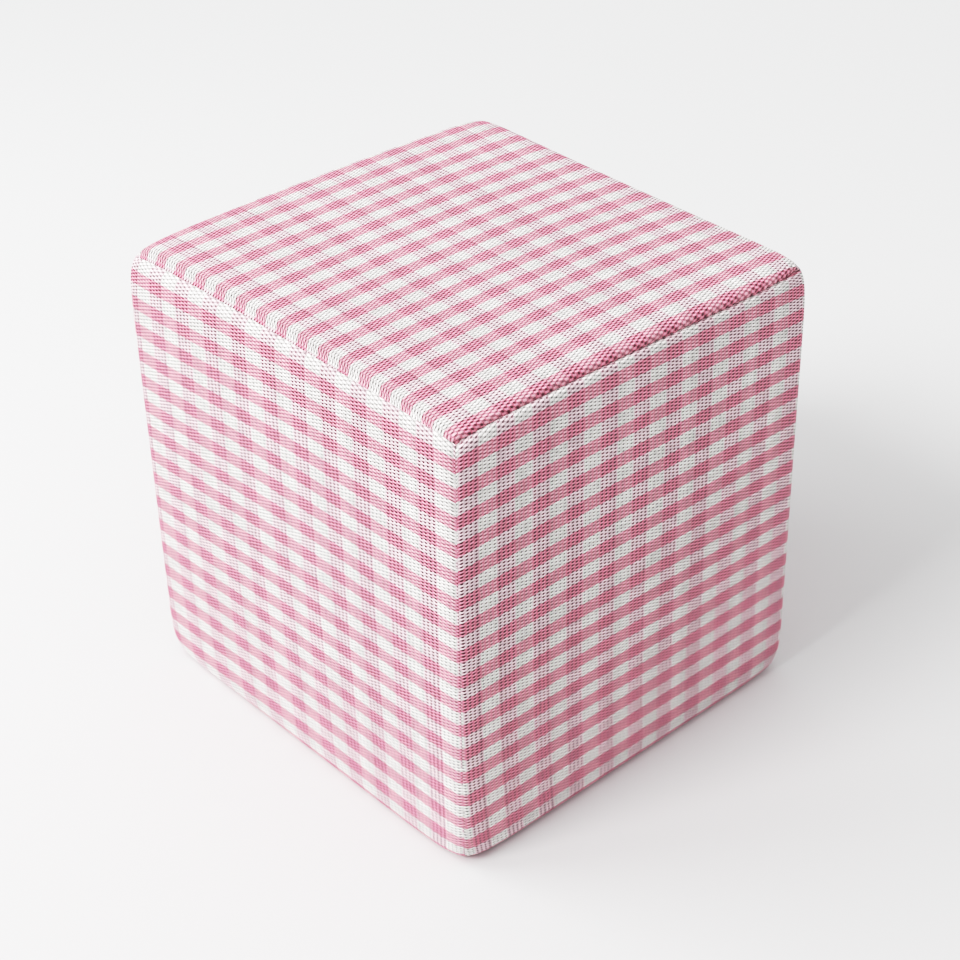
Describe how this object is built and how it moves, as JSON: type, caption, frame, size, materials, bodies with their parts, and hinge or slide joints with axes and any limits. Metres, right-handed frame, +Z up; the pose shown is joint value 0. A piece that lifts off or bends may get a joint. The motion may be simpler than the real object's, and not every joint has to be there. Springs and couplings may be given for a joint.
{
  "type": "cube pouf",
  "caption": "Firm cube pouf in a chunky woven gingham cover, its faces gently crowned between drawn-in seams, used as a footrest, low seat or side table.",
  "frame": {"origin": "on the floor, below the middle of the cube", "axes": "+Z up; -Y is the front panel and +X the right panel, the two sides that the picture shows; the top's rows run along Y"},
  "size_m": [0.4046, 0.3896, 0.4181],
  "materials": {
    "gingham_weave": "chunky plain weave of cotton yarn, matt, in a pink and white gingham: rows of eight picks each way round, columns of four ends"
  },
  "bodies": {
    "root": {"panel_top": "gingham_weave", "panel_bottom": "gingham_weave", "panel_front": "gingham_weave", "panel_right": "gingham_weave", "panel_back": "gingham_weave", "panel_left": "gingham_weave"}
  },
  "joints": []
}
